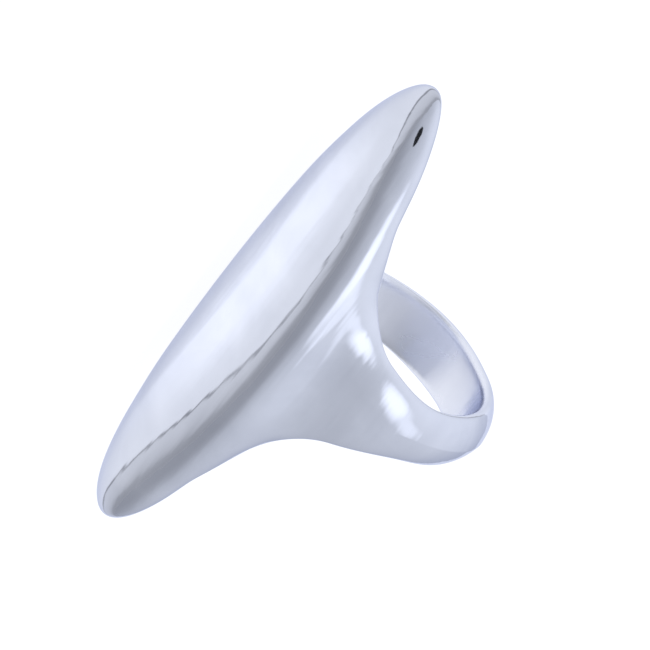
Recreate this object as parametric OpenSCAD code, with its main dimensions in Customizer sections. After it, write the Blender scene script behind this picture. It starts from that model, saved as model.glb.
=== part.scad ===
// A statement ring cast in one piece of polished silver. A long domed head, shaped like
// a spindle, lies along the finger. Its belly sweeps down into a band that tapers
// towards the back of the finger. The ring lies on its side, as it would on a table.
// All sizes are in millimetres.

/* [Finger hole] */
// Radius of the finger hole
hole_r = 8.7; // [8.6:0.05:8.8]
// How far the mouth of the hole opens out at its rim
mouth_flare = 0.75; // [0.5:0.05:0.9]
// Length of the flared mouth, along the finger
mouth_len = 1.7; // [1.5:0.1:2.1]
// Rounding between the mouth and the side of the band
mouth_round = 0.9; // [0.6:0.05:1.1]
// How much deeper than the mouth the hollow under each end of the head is
scoop = 1.1; // [0.9:0.05:1.3]
// Length over which that hollow deepens
scoop_len = 4; // [3.5:0.1:4.5]

/* [Head] */
// Half the width of the head, across the finger
head_half_w = 6.65; // [6.4:0.05:7.2]
// Half the length of the head, along the finger
head_half_len = 22.5; // [21:0.1:24]
// Height of the head's widest outline above the centre of the hole
head_z = 11.15; // [10.9:0.05:11.5]
// Height of the dome above that outline
dome_h = 2.4; // [2:0.1:2.7]
// Depth of the belly below that outline
belly_h = 2.5; // [2.2:0.1:2.9]
// Rise of the head 20 mm out along the finger, which is negative where it droops
tip_rise = -0.2; // [-0.4:0.05:0.4]
// Roundness of the dome's cross-section, where 2 is an ellipse
dome_power = 2.05; // [2:0.05:2.4]
// Roundness of the belly's cross-section
belly_power = 2.4; // [2.2:0.05:2.7]
// How much more of its height the dome keeps at the tips, where 0 is none
dome_fullness = 1.3; // [0.9:0.05:1.4]
// How much more of its depth the belly keeps at the tips
belly_fullness = 1.3; // [0.9:0.05:1.4]
// Fullness of the outline at the tips
tip_power = 1.95; // [1.9:0.05:2.1]

/* [Band] */
// Outside radius of the band at its two sides
band_side_r = 9.95; // [9.9:0.05:10.2]
// Outside radius of the band at the back of the finger
band_back_r = 10.15; // [10:0.05:10.4]
// How far the centre of the outside lies towards the back of the finger
band_drop = 0.6; // [0.3:0.05:0.7]
// Roundness of the band seen along the finger, where 2 is a circle
band_power = 2.2; // [2.05:0.05:2.4]
// Half the width of the band at the back of the finger
band_half_w = 3.75; // [3.4:0.05:4.2]
// Half the width that the band has grown to under the head
root_half_w = 9.4; // [8.8:0.1:10]
// How late the band widens on its way up to the head
root_power = 2.85; // [2.6:0.05:3.2]
// Rounding of the band's outer edges
edge_round = 4.8; // [4.2:0.1:5.2]
// Size of the sweep that blends the band into the head
blend = 4.8; // [4.4:0.1:5.4]

/* [Rest] */
// Turn about the finger's line from standing on the back of the band to lying on its side
lie_angle = 109.0; // [106:0.1:110]

/* [Surface grid] */
// Sections round the finger
sections = 104; // [80:4:112]
// Points round each section
section_points = 40; // [32:4:44]

/* [Hidden] */

// The ring is drawn first with X across the finger, Y along it and Z up to the head,
// about the centre of the finger hole. Each function below gives the distance to a
// surface, positive outside the silver.
band_foot = -band_drop - band_back_r;
full_width_z = 10;

// Meets two shapes with a rounded sweep of the given size
function join(a, b, size) =
    let (h = max(0, min(1, 0.5 + 0.5 * (b - a) / size)))
    b * (1 - h) + a * h - size * h * (1 - h);

// Keeps what two shapes have in common, with the edge rounded to the given size
function common(a, b, size) = -join(-a, -b, size);

// Half of a spindle: its cross-section has one roundness, its outline another. Towards
// the tips it keeps more of its height than the outline alone would leave it
function spindle(x, y, z, half_w, half_len, h, across, along, full) =
    let (
        u = abs(x) / half_w + 1e-6,
        v = abs(y) / half_len + 1e-6,
        w = abs(z) / (h * (1 + full * pow(min(v, 1.2), 2))) + 1e-6,
        q = pow(pow(u, across) + pow(w, across), 1 / across),
        k = pow(pow(q, along) + pow(v, along), 1 / along),
        slope_q = pow(q / k, along - 1),
        slope_y = pow(v / k, along - 1) / half_len,
        slope_x = slope_q * pow(u / q, across - 1) / half_w,
        slope_z = slope_q * pow(w / q, across - 1) / h
    )
    (k - 1) / sqrt(slope_x * slope_x + slope_y * slope_y + slope_z * slope_z);

// The domed head and its belly
function head(x, y, z) =
    let (up = z - head_z - tip_rise * pow(y / 20, 2))
    up > 0
        ? spindle(x, y, up, head_half_w, head_half_len, dome_h, dome_power, tip_power,
            dome_fullness)
        : spindle(x, y, up, head_half_w, head_half_len, belly_h, belly_power, tip_power,
            belly_fullness);

// Half the width of the band at a height, and how fast it grows there
function way_up(z) = max(0, min(1.05, (z - band_foot) / (full_width_z - band_foot)));
function half_width(z) = band_half_w + (root_half_w - band_half_w) * pow(way_up(z), root_power);
function width_growth(z) =
    (root_half_w - band_half_w) * root_power * pow(max(way_up(z), 0.01), root_power - 1)
    / (full_width_z - band_foot);

// The band without its hole
function band(x, y, z) =
    let (
        u = abs(x) / band_side_r + 1e-6,
        w = abs(z + band_drop) / band_back_r + 1e-6,
        k = pow(pow(u, band_power) + pow(w, band_power), 1 / band_power),
        slope_x = pow(u / k, band_power - 1) / band_side_r,
        slope_z = pow(w / k, band_power - 1) / band_back_r,
        outside = (k - 1) / sqrt(slope_x * slope_x + slope_z * slope_z),
        side = (abs(y) - half_width(z)) / sqrt(1 + pow(width_growth(z), 2))
    )
    common(common(outside, side, edge_round), z - head_z, 1);

// The finger hole with its flared mouths, and the hollow under each end of the head
function hole(x, y, z, r) =
    let (
        out = max(0, min(1, (abs(y) - half_width(z) + mouth_len) / mouth_len)),
        slope = 2 * mouth_flare / mouth_len * out,
        past = max(0, min(1, (abs(y) - half_width(z)) / scoop_len))
    )
    (r + mouth_flare * out * out - sqrt(x * x + z * z)) / sqrt(1 + slope * slope)
    + scoop * past * past * (3 - 2 * past);

// The whole ring. The hole is drawn a little tight, and cut to size afterwards
tight_r = hole_r - 0.1;
function ring_distance(p) =
    common(
        join(head(p.x, p.y, p.z), band(p.x, p.y, p.z), blend),
        hole(p.x, p.y, p.z, tight_r),
        mouth_round
    );

// Sections stand round the finger, closer together under the head
function section_angle(i) =
    let (t = (i + 0.5) / sections * 2 - 1)
    180 * (0.35 * t + 0.65 * t * t * t);
function head_share(angle) =
    let (t = max(0, min(1, (cos(angle) - 0.6) / 0.35)))
    t * t * (3 - 2 * t);

// Walks from a point inside the silver along a line until it comes out
function walk_out(start, way, near_t, far_t, steps) =
    let (mid_t = (near_t + far_t) / 2)
    steps == 0
        ? start + mid_t * way
        : ring_distance(start + mid_t * way) < 0
            ? walk_out(start, way, mid_t, far_t, steps - 1)
            : walk_out(start, way, near_t, mid_t, steps - 1);

function surface_point(i, j) =
    let (
        angle = section_angle(i),
        share = head_share(angle),
        outward = [sin(angle), 0, cos(angle)],
        middle = (9.45 + 1.45 * share) * outward,
        stretch = 3.4 + 5.6 * share,
        turn = 360 * (j + 0.5) / section_points,
        way = cos(turn) * outward + stretch * sin(turn) * [0, 1, 0]
    )
    walk_out(middle, way, 0, 6, 24);

function grid_points() = [
    for (i = [0 : sections - 1])
        for (j = [0 : section_points - 1])
            surface_point(i, j)
];

function grid_number(i, j) = (i % sections) * section_points + j % section_points;

function grid_triangles() = [
    for (i = [0 : sections - 1])
        for (j = [0 : section_points - 1])
            for (half = [0, 1])
                half == 0
                    ? [grid_number(i, j), grid_number(i, j + 1), grid_number(i + 1, j + 1)]
                    : [grid_number(i, j), grid_number(i + 1, j + 1), grid_number(i + 1, j)]
];

// Where a point of the ring comes to once the ring is turned onto its side
function turned_x(p) = cos(lie_angle) * p.x - sin(lie_angle) * p.z;
function turned_z(p) = sin(lie_angle) * p.x + cos(lie_angle) * p.z;

// One casting of silver: head, belly and band, with the finger hole cut to size
module ring() {
    points = grid_points();
    all_x = [for (p = points) turned_x(p)];
    shift = -(min(all_x) + max(all_x)) / 2;
    lift = -min([for (p = points) turned_z(p)]);
    color("silver")
        translate([shift, 0, lift])
            rotate([0, -lie_angle, 0])
                difference() {
                    polyhedron(points = points, faces = grid_triangles(), convexity = 6);
                    rotate([90, 0, 0])
                        cylinder(r = hole_r, h = 60, center = true, $fn = 180);
                }
}

ring();
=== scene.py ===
import bpy
import numpy as np
from mathutils import Matrix, Vector


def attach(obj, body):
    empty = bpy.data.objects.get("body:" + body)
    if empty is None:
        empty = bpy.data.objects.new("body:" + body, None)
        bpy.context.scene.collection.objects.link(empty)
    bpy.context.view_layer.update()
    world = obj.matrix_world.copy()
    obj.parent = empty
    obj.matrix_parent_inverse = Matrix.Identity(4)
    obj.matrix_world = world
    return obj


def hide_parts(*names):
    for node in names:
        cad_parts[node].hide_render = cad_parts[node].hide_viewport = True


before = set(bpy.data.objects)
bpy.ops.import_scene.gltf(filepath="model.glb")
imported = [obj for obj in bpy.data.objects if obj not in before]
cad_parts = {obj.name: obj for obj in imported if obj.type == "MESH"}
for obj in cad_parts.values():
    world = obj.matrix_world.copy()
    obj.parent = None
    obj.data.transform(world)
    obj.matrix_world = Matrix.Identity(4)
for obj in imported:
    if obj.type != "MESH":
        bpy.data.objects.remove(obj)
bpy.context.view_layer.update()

# Silver casting
# The ring is cast in one piece of sterling silver: a long domed head, its belly and a
# band that tapers towards the back of the finger. It is filed, sanded and polished to a
# mirror, so the surface is one smooth skin with no seam.

# Sizes are in millimetres. The ring is drawn standing, about the centre of the finger
# hole, with X across the finger, Y along it and Z up to the head.
METRE = 1000.0

# Finger hole, with a flared mouth and a hollow under each end of the head
HOLE_RADIUS = 8.7
MOUTH_FLARE = 0.75
MOUTH_LENGTH = 1.7
MOUTH_ROUNDING = 0.9
SCOOP_DEPTH = 1.1
SCOOP_LENGTH = 4.0

# Head, with the dome above its widest outline and the belly below. At the tips it droops
# and keeps more of its height. A power of 2 draws an ellipse, a higher one is fuller.
HEAD_HALF_WIDTH = 6.65
HEAD_HALF_LENGTH = 22.5
HEAD_HEIGHT = 11.15
DOME_HEIGHT = 2.4
DOME_POWER = 2.05
BELLY_DEPTH = 2.5
BELLY_POWER = 2.4
TIP_POWER = 1.95
TIP_FULLNESS = 1.3
FULLNESS_LIMIT = 1.2
TIP_DROOP = 0.2
TIP_DROOP_AT = 20.0

# Band, from the narrow strip at the back of the finger up to its wide root
BAND_SIDE_RADIUS = 9.95
BAND_BACK_RADIUS = 10.15
BAND_DROP = 0.6
BAND_FOOT = -BAND_DROP - BAND_BACK_RADIUS
BAND_POWER = 2.2
BAND_HALF_WIDTH = 3.75
ROOT_HALF_WIDTH = 9.4
ROOT_HEIGHT = 10.0
ROOT_POWER = 2.85
WAY_UP_LIMIT = 1.05
LEAST_WAY_UP = 0.01
EDGE_ROUNDING = 4.8
TOP_ROUNDING = 1.0

# Size of the sweep that blends the band into the head
BLEND = 4.8

# Turn about the finger's line, from standing on the back of the band to lying on its side
LIE_ANGLE = np.radians(109.0)

# Keeps a share above zero, so that its powers can be worked out
TINY = 1e-6


def join(a, b, size):
    """Meets two shapes with a rounded sweep of the given size."""
    share = np.clip(0.5 + 0.5 * (b - a) / size, 0, 1)
    return b * (1 - share) + a * share - size * share * (1 - share)


def common(a, b, size):
    """Keeps what two shapes have in common, with a rounded edge of the given size."""
    return -join(-a, -b, size)


def eased(share):
    """Rises from 0 to 1 with soft ends."""
    return share * share * (3 - 2 * share)


def spindle(x, y, z, height, across, along):
    """Distance to half of the head, the dome's or the belly's."""
    out_x = np.abs(x) / HEAD_HALF_WIDTH + TINY
    out_y = np.abs(y) / HEAD_HALF_LENGTH + TINY
    fuller = 1 + TIP_FULLNESS * np.minimum(out_y, FULLNESS_LIMIT) ** 2
    out_z = np.abs(z) / (height * fuller) + TINY
    section = (out_x**across + out_z**across) ** (1 / across)
    whole = (section**along + out_y**along) ** (1 / along)
    slope_section = (section / whole) ** (along - 1)
    slope_y = (out_y / whole) ** (along - 1) / HEAD_HALF_LENGTH
    slope_x = slope_section * (out_x / section) ** (across - 1) / HEAD_HALF_WIDTH
    slope_z = slope_section * (out_z / section) ** (across - 1) / height
    return (whole - 1) / np.sqrt(slope_x**2 + slope_y**2 + slope_z**2)


def head(x, y, z):
    """Distance to the domed head and its belly."""
    up = z - HEAD_HEIGHT + TIP_DROOP * (y / TIP_DROOP_AT) ** 2
    dome = spindle(x, y, up, DOME_HEIGHT, DOME_POWER, TIP_POWER)
    belly = spindle(x, y, up, BELLY_DEPTH, BELLY_POWER, TIP_POWER)
    return np.where(up > 0, dome, belly)


def way_up_band(z):
    """Share of the way up from the band's foot to its root."""
    return np.clip((z - BAND_FOOT) / (ROOT_HEIGHT - BAND_FOOT), 0, WAY_UP_LIMIT)


def band_width_at(z):
    """Half the width of the band at a height."""
    widening = way_up_band(z) ** ROOT_POWER
    return BAND_HALF_WIDTH + (ROOT_HALF_WIDTH - BAND_HALF_WIDTH) * widening


def band(x, y, z):
    """Distance to the band, before the finger hole is cut."""
    out_x = np.abs(x) / BAND_SIDE_RADIUS + TINY
    out_z = np.abs(z + BAND_DROP) / BAND_BACK_RADIUS + TINY
    section = (out_x**BAND_POWER + out_z**BAND_POWER) ** (1 / BAND_POWER)
    slope_x = (out_x / section) ** (BAND_POWER - 1) / BAND_SIDE_RADIUS
    slope_z = (out_z / section) ** (BAND_POWER - 1) / BAND_BACK_RADIUS
    outside = (section - 1) / np.sqrt(slope_x**2 + slope_z**2)
    rising = np.maximum(way_up_band(z), LEAST_WAY_UP) ** (ROOT_POWER - 1)
    widening = (ROOT_HALF_WIDTH - BAND_HALF_WIDTH) * ROOT_POWER * rising
    growth = widening / (ROOT_HEIGHT - BAND_FOOT)
    side = (np.abs(y) - band_width_at(z)) / np.sqrt(1 + growth**2)
    return common(common(outside, side, EDGE_ROUNDING), z - HEAD_HEIGHT, TOP_ROUNDING)


def finger_hole(x, y, z):
    """Distance to the wall of the hole, its mouths and the hollows under the head."""
    beyond = np.abs(y) - band_width_at(z)
    mouth = np.clip((beyond + MOUTH_LENGTH) / MOUTH_LENGTH, 0, 1)
    slope = 2 * MOUTH_FLARE / MOUTH_LENGTH * mouth
    wall = HOLE_RADIUS + MOUTH_FLARE * mouth**2 - np.sqrt(x**2 + z**2)
    past = np.clip(beyond / SCOOP_LENGTH, 0, 1)
    return wall / np.sqrt(1 + slope**2) + SCOOP_DEPTH * eased(past)


def silver_skin(x, y, z):
    """Distance to the surface of the whole casting, positive outside the silver."""
    solid = join(head(x, y, z), band(x, y, z), BLEND)
    return common(solid, finger_hole(x, y, z), MOUTH_ROUNDING)


# The skin is a grid of sections round the finger, closer together under the head. Each
# point is found by walking out from a line inside the silver until the silver ends, by
# halving. Under the head that line lies further out, and the walks spread wider along the
# finger. HEAD_BEGINS and HEAD_FULL are cosines of the angle round the finger.
SECTIONS = 360
SECTION_POINTS = 256
EVEN_SHARE = 0.35
HEAD_BEGINS = 0.6
HEAD_FULL = 0.95
INSIDE_AT_BACK = 9.45
INSIDE_AT_HEAD = 10.9
SPREAD_AT_BACK = 3.4
SPREAD_AT_HEAD = 9.0
LONGEST_WALK = 6.0
HALVINGS = 34
step = (np.arange(SECTIONS) + 0.5) / SECTIONS * 2 - 1
around = np.pi * (EVEN_SHARE * step + (1 - EVEN_SHARE) * step**3)
turn = np.arange(SECTION_POINTS) / SECTION_POINTS * 2 * np.pi
around, turn = np.meshgrid(around, turn, indexing="ij")
under_head = np.clip((np.cos(around) - HEAD_BEGINS) / (HEAD_FULL - HEAD_BEGINS), 0, 1)
under_head = eased(under_head)
inside_line = INSIDE_AT_BACK + (INSIDE_AT_HEAD - INSIDE_AT_BACK) * under_head
spread = SPREAD_AT_BACK + (SPREAD_AT_HEAD - SPREAD_AT_BACK) * under_head
shortest = np.zeros_like(around)
longest = np.full_like(around, LONGEST_WALK)
for halving in range(HALVINGS):
    walk = (shortest + longest) / 2
    outward = inside_line + walk * np.cos(turn)
    x = outward * np.sin(around)
    y = walk * spread * np.sin(turn)
    z = outward * np.cos(around)
    inside = silver_skin(x, y, z) < 0
    shortest = np.where(inside, walk, shortest)
    longest = np.where(inside, longest, walk)

# The standing ring is laid on its side, with its footprint centred on the frame's origin.
lying_x = np.cos(LIE_ANGLE) * x - np.sin(LIE_ANGLE) * z
lying_z = np.sin(LIE_ANGLE) * x + np.cos(LIE_ANGLE) * z
to_middle = -(lying_x.min() + lying_x.max()) / 2
to_floor = -lying_z.min()
hole_centre = (to_middle / METRE, 0.0, to_floor / METRE)
points = np.stack([lying_x + to_middle, y, lying_z + to_floor], axis=-1).reshape(-1, 3) / METRE

number = np.arange(SECTIONS * SECTION_POINTS).reshape(SECTIONS, SECTION_POINTS)
next_section = np.roll(number, -1, axis=0)
next_point = np.roll(number, -1, axis=1)
across_both = np.roll(next_section, -1, axis=1)
quads = np.stack([number, next_section, across_both, next_point], axis=-1).reshape(-1, 4)
ring_mesh = bpy.data.meshes.new("silver_ring")
ring_mesh.from_pydata(points.tolist(), [], quads.tolist())
ring_mesh.polygons.foreach_set("use_smooth", [True] * len(quads))
ring_mesh.update()
ring = bpy.data.objects.new("silver_ring", ring_mesh)
bpy.context.scene.collection.objects.link(ring)

# Polished silver
# Sterling silver after the last polishing mop, a little cooler in tone where it is seen
# at a slant. Worn rings keep the mirror but gather finger haze and very fine hairlines.
SLANT_TONE = (0.68, 0.71, 0.83, 1)

# Each row gives an amount of haze and the silver's tone there.
TONES = (
    (0.3, (0.62, 0.645, 0.73)),
    (0.75, (0.69, 0.715, 0.80)),
)
CLEAN_ROUGHNESS = 0.06
HAZY_ROUGHNESS = 0.14
HAZE_PER_METRE = 210.0
HAZE_DETAIL = 5.0
HAZE_SWIRL = 0.6
HAZE_BEGINS = 0.35
HAZE_FULL = 0.7


def add_node(tree, kind, values, feeds, operation=None):
    """Adds a shader node with its own values and links what feeds it."""
    node = tree.nodes.new(kind)
    if operation is not None:
        node.operation = operation
    for socket, value in values.items():
        node.inputs[socket].default_value = value
    for socket, source in feeds.items():
        tree.links.new(source, node.inputs[socket])
    return node


def map_range(tree, value, start, end, first=0.0, last=1.0, style="LINEAR"):
    """Turns a value between start and end into one between first and last."""
    ends = {"From Min": start, "From Max": end, "To Min": first, "To Max": last}
    node = add_node(tree, "ShaderNodeMapRange", ends, {"Value": value})
    node.interpolation_type = style
    return node.outputs["Result"]


def add_ramp(tree, value, stops):
    """Adds a colour ramp. Its stops are rows of a place on the ramp and a colour there."""
    node = add_node(tree, "ShaderNodeValToRGB", {}, {"Fac": value})
    elements = node.color_ramp.elements
    elements.remove(elements[1])
    elements[0].position = stops[0][0]
    elements[0].color = (*stops[0][1], 1)
    for place, colour in stops[1:]:
        stop = elements.new(place)
        stop.color = (*colour, 1)
    return node.outputs["Color"]


silver = bpy.data.materials.new("polished_silver")
silver.use_nodes = True
polish = silver.node_tree
shader = polish.nodes["Principled BSDF"]
shader.inputs["Metallic"].default_value = 1.0
shader.inputs["Specular Tint"].default_value = SLANT_TONE
on_ring = polish.nodes.new("ShaderNodeTexCoord").outputs["Object"]
haze = add_node(
    polish,
    "ShaderNodeTexNoise",
    {"Scale": HAZE_PER_METRE, "Detail": HAZE_DETAIL, "Distortion": HAZE_SWIRL},
    {"Vector": on_ring},
).outputs["Fac"]
haze_roughness = map_range(
    polish, haze, HAZE_BEGINS, HAZE_FULL, CLEAN_ROUGHNESS, HAZY_ROUGHNESS
)
tone = add_ramp(polish, haze, TONES)

# The wall of the finger hole is left satin, because the polishing mop doesn't reach in.
# Its tone is also painted whiter there: painted light that brightens the wall against the
# darker silver-in-silver reflections inside the hole. The satin and the painted light turn
# to polish in the mouth, a little way out from the straight wall.
HOLE_PAINTED_LIGHT_TONE = (0.78, 0.80, 0.88, 1)
SATIN_EXTRA_ROUGHNESS = 0.2
SATIN_AND_PAINTED_LIGHT_RADIUS = HOLE_RADIUS + 0.1
POLISHED_RADIUS = HOLE_RADIUS + 0.5
ACROSS_FINGER = (1.0, 0.0, 1.0)
from_centre = add_node(
    polish, "ShaderNodeVectorMath", {1: hole_centre}, {0: on_ring}, "SUBTRACT"
).outputs["Vector"]
off_the_line = add_node(
    polish, "ShaderNodeVectorMath", {1: ACROSS_FINGER}, {0: from_centre}, "MULTIPLY"
).outputs["Vector"]
off_distance = add_node(
    polish, "ShaderNodeVectorMath", {}, {0: off_the_line}, "LENGTH"
).outputs["Value"]
satin_and_painted_light = map_range(
    polish,
    off_distance,
    SATIN_AND_PAINTED_LIGHT_RADIUS / METRE,
    POLISHED_RADIUS / METRE,
    1.0,
    0.0,
    "SMOOTHSTEP",
)
all_roughness = add_node(
    polish,
    "ShaderNodeMath",
    {1: SATIN_EXTRA_ROUGHNESS},
    {0: satin_and_painted_light, 2: haze_roughness},
    "MULTIPLY_ADD",
)
# Mixes the whiter painted-light tone into the silver's tone on the hole's wall.
tone_and_painted_light = add_node(
    polish, "ShaderNodeMixRGB", {"Color2": HOLE_PAINTED_LIGHT_TONE}, {"Fac": satin_and_painted_light, "Color1": tone}
)
polish.links.new(all_roughness.outputs["Value"], shader.inputs["Roughness"])
polish.links.new(tone_and_painted_light.outputs["Color"], shader.inputs["Base Color"])

# Hand polishing leaves long ripples that run along the head, and softer hollows. Wear
# adds two sets of crossing hairlines, which show where they break up a reflection. Each
# row gives how many marks there are in a metre, their detail, how they are turned and
# drawn out, how strongly they show, and their depth in metres.
MARKS = (
    (430.0, 3.0, (0.0, 0.0, 0.0), (1.0, 0.1, 1.0), 0.5, 0.00016),
    (150.0, 2.0, (0.0, 0.0, 0.0), (1.0, 1.0, 1.0), 0.5, 0.00018),
    (9000.0, 1.0, (0.5, 0.3, 0.5), (1.0, 0.03, 1.0), 0.12, 0.000004),
    (9000.0, 1.0, (-0.9, 0.3, -0.9), (1.0, 0.03, 1.0), 0.12, 0.000004),
)
marked = None
for per_metre, detail, turned_by, drawn_out, strength, depth in MARKS:
    along_mark = add_node(
        polish,
        "ShaderNodeMapping",
        {"Rotation": turned_by, "Scale": drawn_out},
        {"Vector": on_ring},
    )
    mark = add_node(
        polish,
        "ShaderNodeTexNoise",
        {"Scale": per_metre, "Detail": detail},
        {"Vector": along_mark.outputs["Vector"]},
    )
    relief = add_node(
        polish,
        "ShaderNodeBump",
        {"Strength": strength, "Distance": depth},
        {"Height": mark.outputs["Fac"]},
    )
    if marked is not None:
        polish.links.new(marked, relief.inputs["Normal"])
    marked = relief.outputs["Normal"]
polish.links.new(marked, shader.inputs["Normal"])
ring_mesh.materials.append(silver)
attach(ring, "root")
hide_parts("ring")

# Floor
# A seamless sheet of white acrylic on a light table, lit from below. The lit part ends at
# a dark frame just outside the two near sides of the picture, and the glow is weaker past
# it. One tube of the table shows through, brighter, under the head.
FLOOR_SIZE = 3.0
SHEET_COLOUR = (0.20, 0.20, 0.205, 1)
SHEET_ROUGHNESS = 0.5
GLOW_COLOUR = (0.975, 0.985, 1.0, 1)
bpy.ops.mesh.primitive_plane_add(size=FLOOR_SIZE, location=(0, 0, 0))
floor = bpy.context.active_object
floor.name = "white_floor"
acrylic = bpy.data.materials.new("white_acrylic")
acrylic.use_nodes = True
sheet = acrylic.node_tree
floor_shader = sheet.nodes["Principled BSDF"]
floor_shader.inputs["Base Color"].default_value = SHEET_COLOUR
floor_shader.inputs["Roughness"].default_value = SHEET_ROUGHNESS
floor_shader.inputs["Emission Color"].default_value = GLOW_COLOUR
on_floor = sheet.nodes.new("ShaderNodeTexCoord").outputs["Object"]

# Places on the floor are in metres. The lit part ends GLOW_REACH from the middle, towards
# either near side. Each row gives a share of TABLE_REACH past that edge, and the strength
# of the glow there.
NEAR_LEFT_SIDE = (-0.819, -0.574, 0.0)
NEAR_RIGHT_SIDE = (-0.257, 0.966, 0.0)
GLOW_REACH = 0.0275
TABLE_REACH = 0.1
GLOW = (
    (0.0, 0.88),
    (0.005, 0.2),
    (0.012, 0.2),
    (0.017, 0.67),
    (0.1, 0.57),
    (0.4, 0.27),
    (1.0, 0.21),
)


def greys(rows):
    """Turns rows of a place and a strength into the stops of a grey ramp."""
    return [(place, (strength, strength, strength)) for place, strength in rows]


to_left, to_right = (
    add_node(
        sheet, "ShaderNodeVectorMath", {1: near_side}, {0: on_floor}, "DOT_PRODUCT"
    ).outputs["Value"]
    for near_side in (NEAR_LEFT_SIDE, NEAR_RIGHT_SIDE)
)
beyond = add_node(sheet, "ShaderNodeMath", {}, {0: to_left, 1: to_right}, "MAXIMUM")
past_edge = map_range(sheet, beyond.outputs["Value"], GLOW_REACH, GLOW_REACH + TABLE_REACH)
glow = add_ramp(sheet, past_edge, greys(GLOW))

# The tube runs along Y. Each row gives a share of the way across it, from its far side to
# its near one, and how much it adds there. It fades out at both ends.
TUBE_FAR_X = -0.026
TUBE_NEAR_X = -0.008
TUBE_HALF_LENGTH = 0.021
TUBE_FADE_LENGTH = 0.016
TUBE = (
    (0.15, 0.0),
    (0.45, 0.12),
    (0.62, 0.34),
    (0.80, 0.40),
    (0.86, 0.12),
    (0.92, 0.0),
)
floor_axes = add_node(sheet, "ShaderNodeSeparateXYZ", {}, {"Vector": on_floor})
across_tube = map_range(sheet, floor_axes.outputs["X"], TUBE_FAR_X, TUBE_NEAR_X)
tube = add_ramp(sheet, across_tube, greys(TUBE))
along_tube = add_node(sheet, "ShaderNodeMath", {}, {0: floor_axes.outputs["Y"]}, "ABSOLUTE")
tube_end = map_range(
    sheet,
    along_tube.outputs["Value"],
    TUBE_HALF_LENGTH - TUBE_FADE_LENGTH,
    TUBE_HALF_LENGTH,
    1.0,
    0.0,
    "SMOOTHSTEP",
)
tube_glow = add_node(sheet, "ShaderNodeMath", {}, {0: tube, 1: tube_end}, "MULTIPLY")
all_glow = add_node(
    sheet, "ShaderNodeMath", {}, {0: glow, 1: tube_glow.outputs["Value"]}, "ADD"
)
sheet.links.new(all_glow.outputs["Value"], floor_shader.inputs["Emission Strength"])
floor.data.materials.append(acrylic)

# Studio light
# A tent of white cloth round the table. Its crown leans to one side, where the cloth is
# brightest, and it is darkest where it meets the table.
TENT_STRENGTH = 1.12
TOWARD_CROWN = (0.45, 0.35, 0.60)
CLOTH_FOOT = -0.4
CLOTH_TOP = 0.8
COOL_WHITE = (1.0, 1.03, 1.10)

# Each row gives a share of the way up the cloth and its brightness there.
CLOTH = (
    (0.0, 0.38),
    (0.1, 0.42),
    (0.3, 0.57),
    (0.5, 0.64),
    (0.67, 0.71),
    (0.83, 0.82),
    (1.0, 0.92),
)


def cool(light):
    """The cloth's slightly cool white at a given brightness."""
    return tuple(part * light for part in COOL_WHITE)


world = bpy.data.worlds.new("tent")
bpy.context.scene.world = world
world.use_nodes = True
tent = world.node_tree
background = tent.nodes["Background"]
background.inputs["Strength"].default_value = TENT_STRENGTH
direction = tent.nodes.new("ShaderNodeTexCoord").outputs["Generated"]
up_the_cloth = add_node(
    tent, "ShaderNodeVectorMath", {1: TOWARD_CROWN}, {0: direction}, "DOT_PRODUCT"
)
way_up_cloth = map_range(tent, up_the_cloth.outputs["Value"], CLOTH_FOOT, CLOTH_TOP)
lit_cloth = add_ramp(tent, way_up_cloth, [(place, cool(light)) for place, light in CLOTH])

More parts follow.
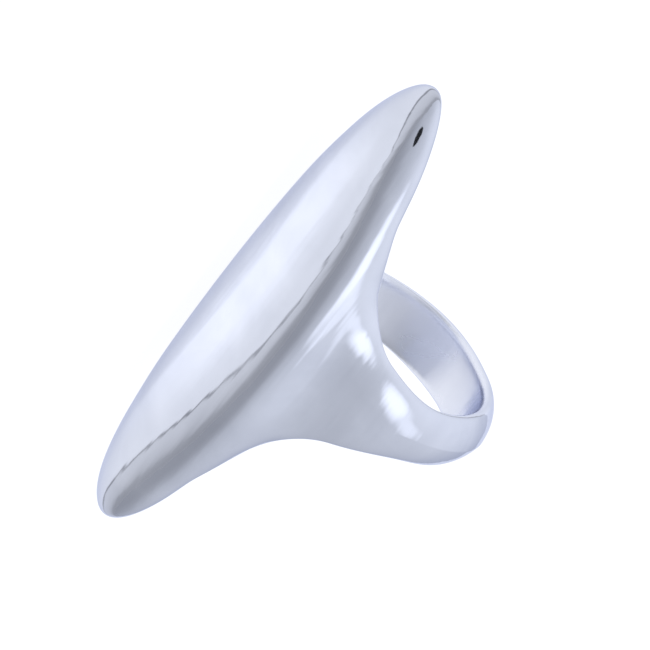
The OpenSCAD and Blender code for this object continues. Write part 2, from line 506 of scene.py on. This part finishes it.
# Two lamps shine through the crown and make soft round patches on it. Each row gives a
# patch's azimuth, its height angle, the angle at which it has faded out, and its light.
LAMPS = (
    (-155, 81, 20, 1.32),
    (-61, 72, 10, 1.08),
)
for azimuth_degrees, height_degrees, reach_degrees, light in LAMPS:
    azimuth = np.radians(azimuth_degrees)
    height = np.radians(height_degrees)
    toward_lamp = (
        np.cos(azimuth) * np.cos(height),
        np.sin(azimuth) * np.cos(height),
        np.sin(height),
    )
    near_lamp = add_node(
        tent, "ShaderNodeVectorMath", {1: toward_lamp}, {0: direction}, "DOT_PRODUCT"
    )
    edge = np.cos(np.radians(reach_degrees))
    patch = map_range(tent, near_lamp.outputs["Value"], edge, 1.0, style="SMOOTHSTEP")
    lit_cloth = add_node(
        tent,
        "ShaderNodeMixRGB",
        {"Color2": (*cool(light), 1)},
        {"Fac": patch, "Color1": lit_cloth},
    ).outputs["Color"]
tent.links.new(lit_cloth, background.inputs["Color"])

# Camera
# The photo's own view of the ring: the head runs up to the right, and the hole shows
# beside it. The ring lies on its side here and is propped up in the photo, so the camera
# is rolled to keep the photo's angle to it.
FOCAL_LENGTH = 131.97
SENSOR_WIDTH = 36.0
NEAREST_SEEN = 0.01
CAMERA_PLACE = Vector((-0.144125, 0.074426, 0.100735))
PICTURE_RIGHT = Vector((0.63870, 0.57936, 0.50637))
PICTURE_BACK = Vector((-0.76426, 0.40128, 0.50486))
camera_data = bpy.data.cameras.new("camera")
camera = bpy.data.objects.new("camera", camera_data)
bpy.context.scene.collection.objects.link(camera)
bpy.context.scene.camera = camera
camera_data.sensor_width = SENSOR_WIDTH
camera_data.lens = FOCAL_LENGTH
camera_data.clip_start = NEAREST_SEEN
back = PICTURE_BACK.normalized()
up = back.cross(PICTURE_RIGHT.normalized()).normalized()
right = up.cross(back).normalized()
turned = Matrix((right, up, back)).transposed().to_4x4()
camera.matrix_world = Matrix.Translation(CAMERA_PLACE) @ turned
bpy.context.scene.view_settings.view_transform = "Standard"

# Lens front
# The black front of the camera's lens, which the polished head mirrors as one small dark
# spot. It stands parallel to the picture, about 4 cm from the camera's own place.
LENS_RADIUS = 0.024
LENS_PLACE = Vector((-0.158, 0.1115, 0.0861))
LENS_COLOUR = (0.01, 0.01, 0.012, 1)
bpy.ops.mesh.primitive_circle_add(radius=LENS_RADIUS, vertices=64, fill_type="NGON")
lens_front = bpy.context.active_object
lens_front.name = "lens_front"
lens_front.matrix_world = Matrix.Translation(LENS_PLACE) @ turned
black = bpy.data.materials.new("lens_black")
black.use_nodes = True
lens_shader = black.node_tree.nodes["Principled BSDF"]
lens_shader.inputs["Base Color"].default_value = LENS_COLOUR
lens_front.data.materials.append(black)
